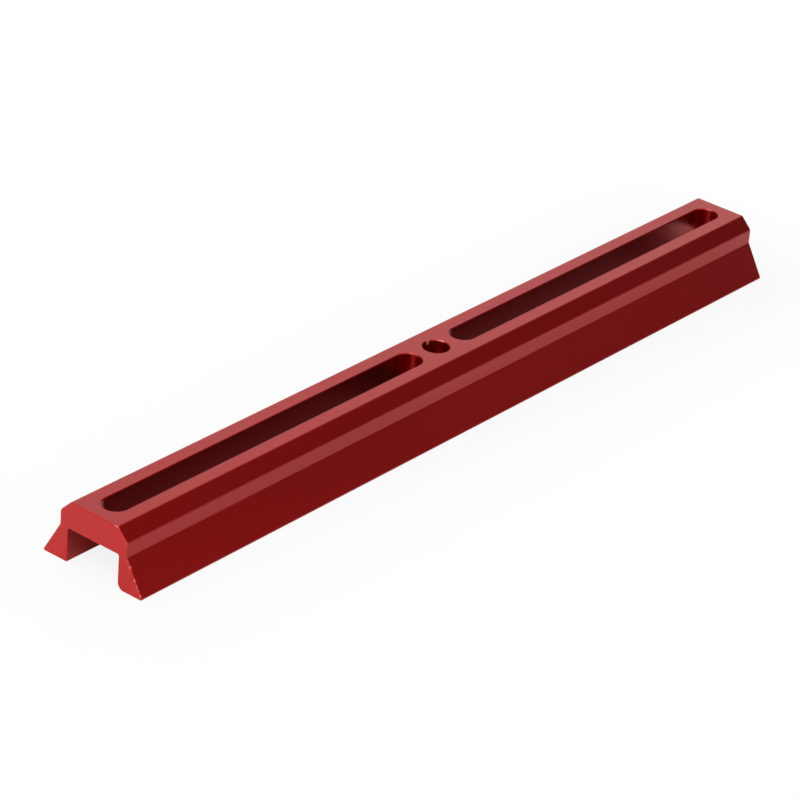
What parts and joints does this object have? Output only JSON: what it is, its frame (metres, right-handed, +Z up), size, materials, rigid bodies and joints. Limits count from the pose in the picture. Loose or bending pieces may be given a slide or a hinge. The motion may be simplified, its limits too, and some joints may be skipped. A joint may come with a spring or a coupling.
{
  "type": "dovetail mounting plate",
  "caption": "Straight dovetail bar with an open channel underneath and long screw slots either side of a middle hole, for clamping a guide scope or rings into a dovetail shoe.",
  "frame": {"origin": "middle of the bar, on the plane under its feet", "axes": "+X along the bar, +Y across it, +Z up out of the top face"},
  "size_m": [0.246, 0.0314, 0.0163],
  "materials": {
    "anodised_aluminium": "red anodised, fine satin"
  },
  "bodies": {
    "root": {"dovetail_bar": "anodised_aluminium"}
  },
  "joints": []
}
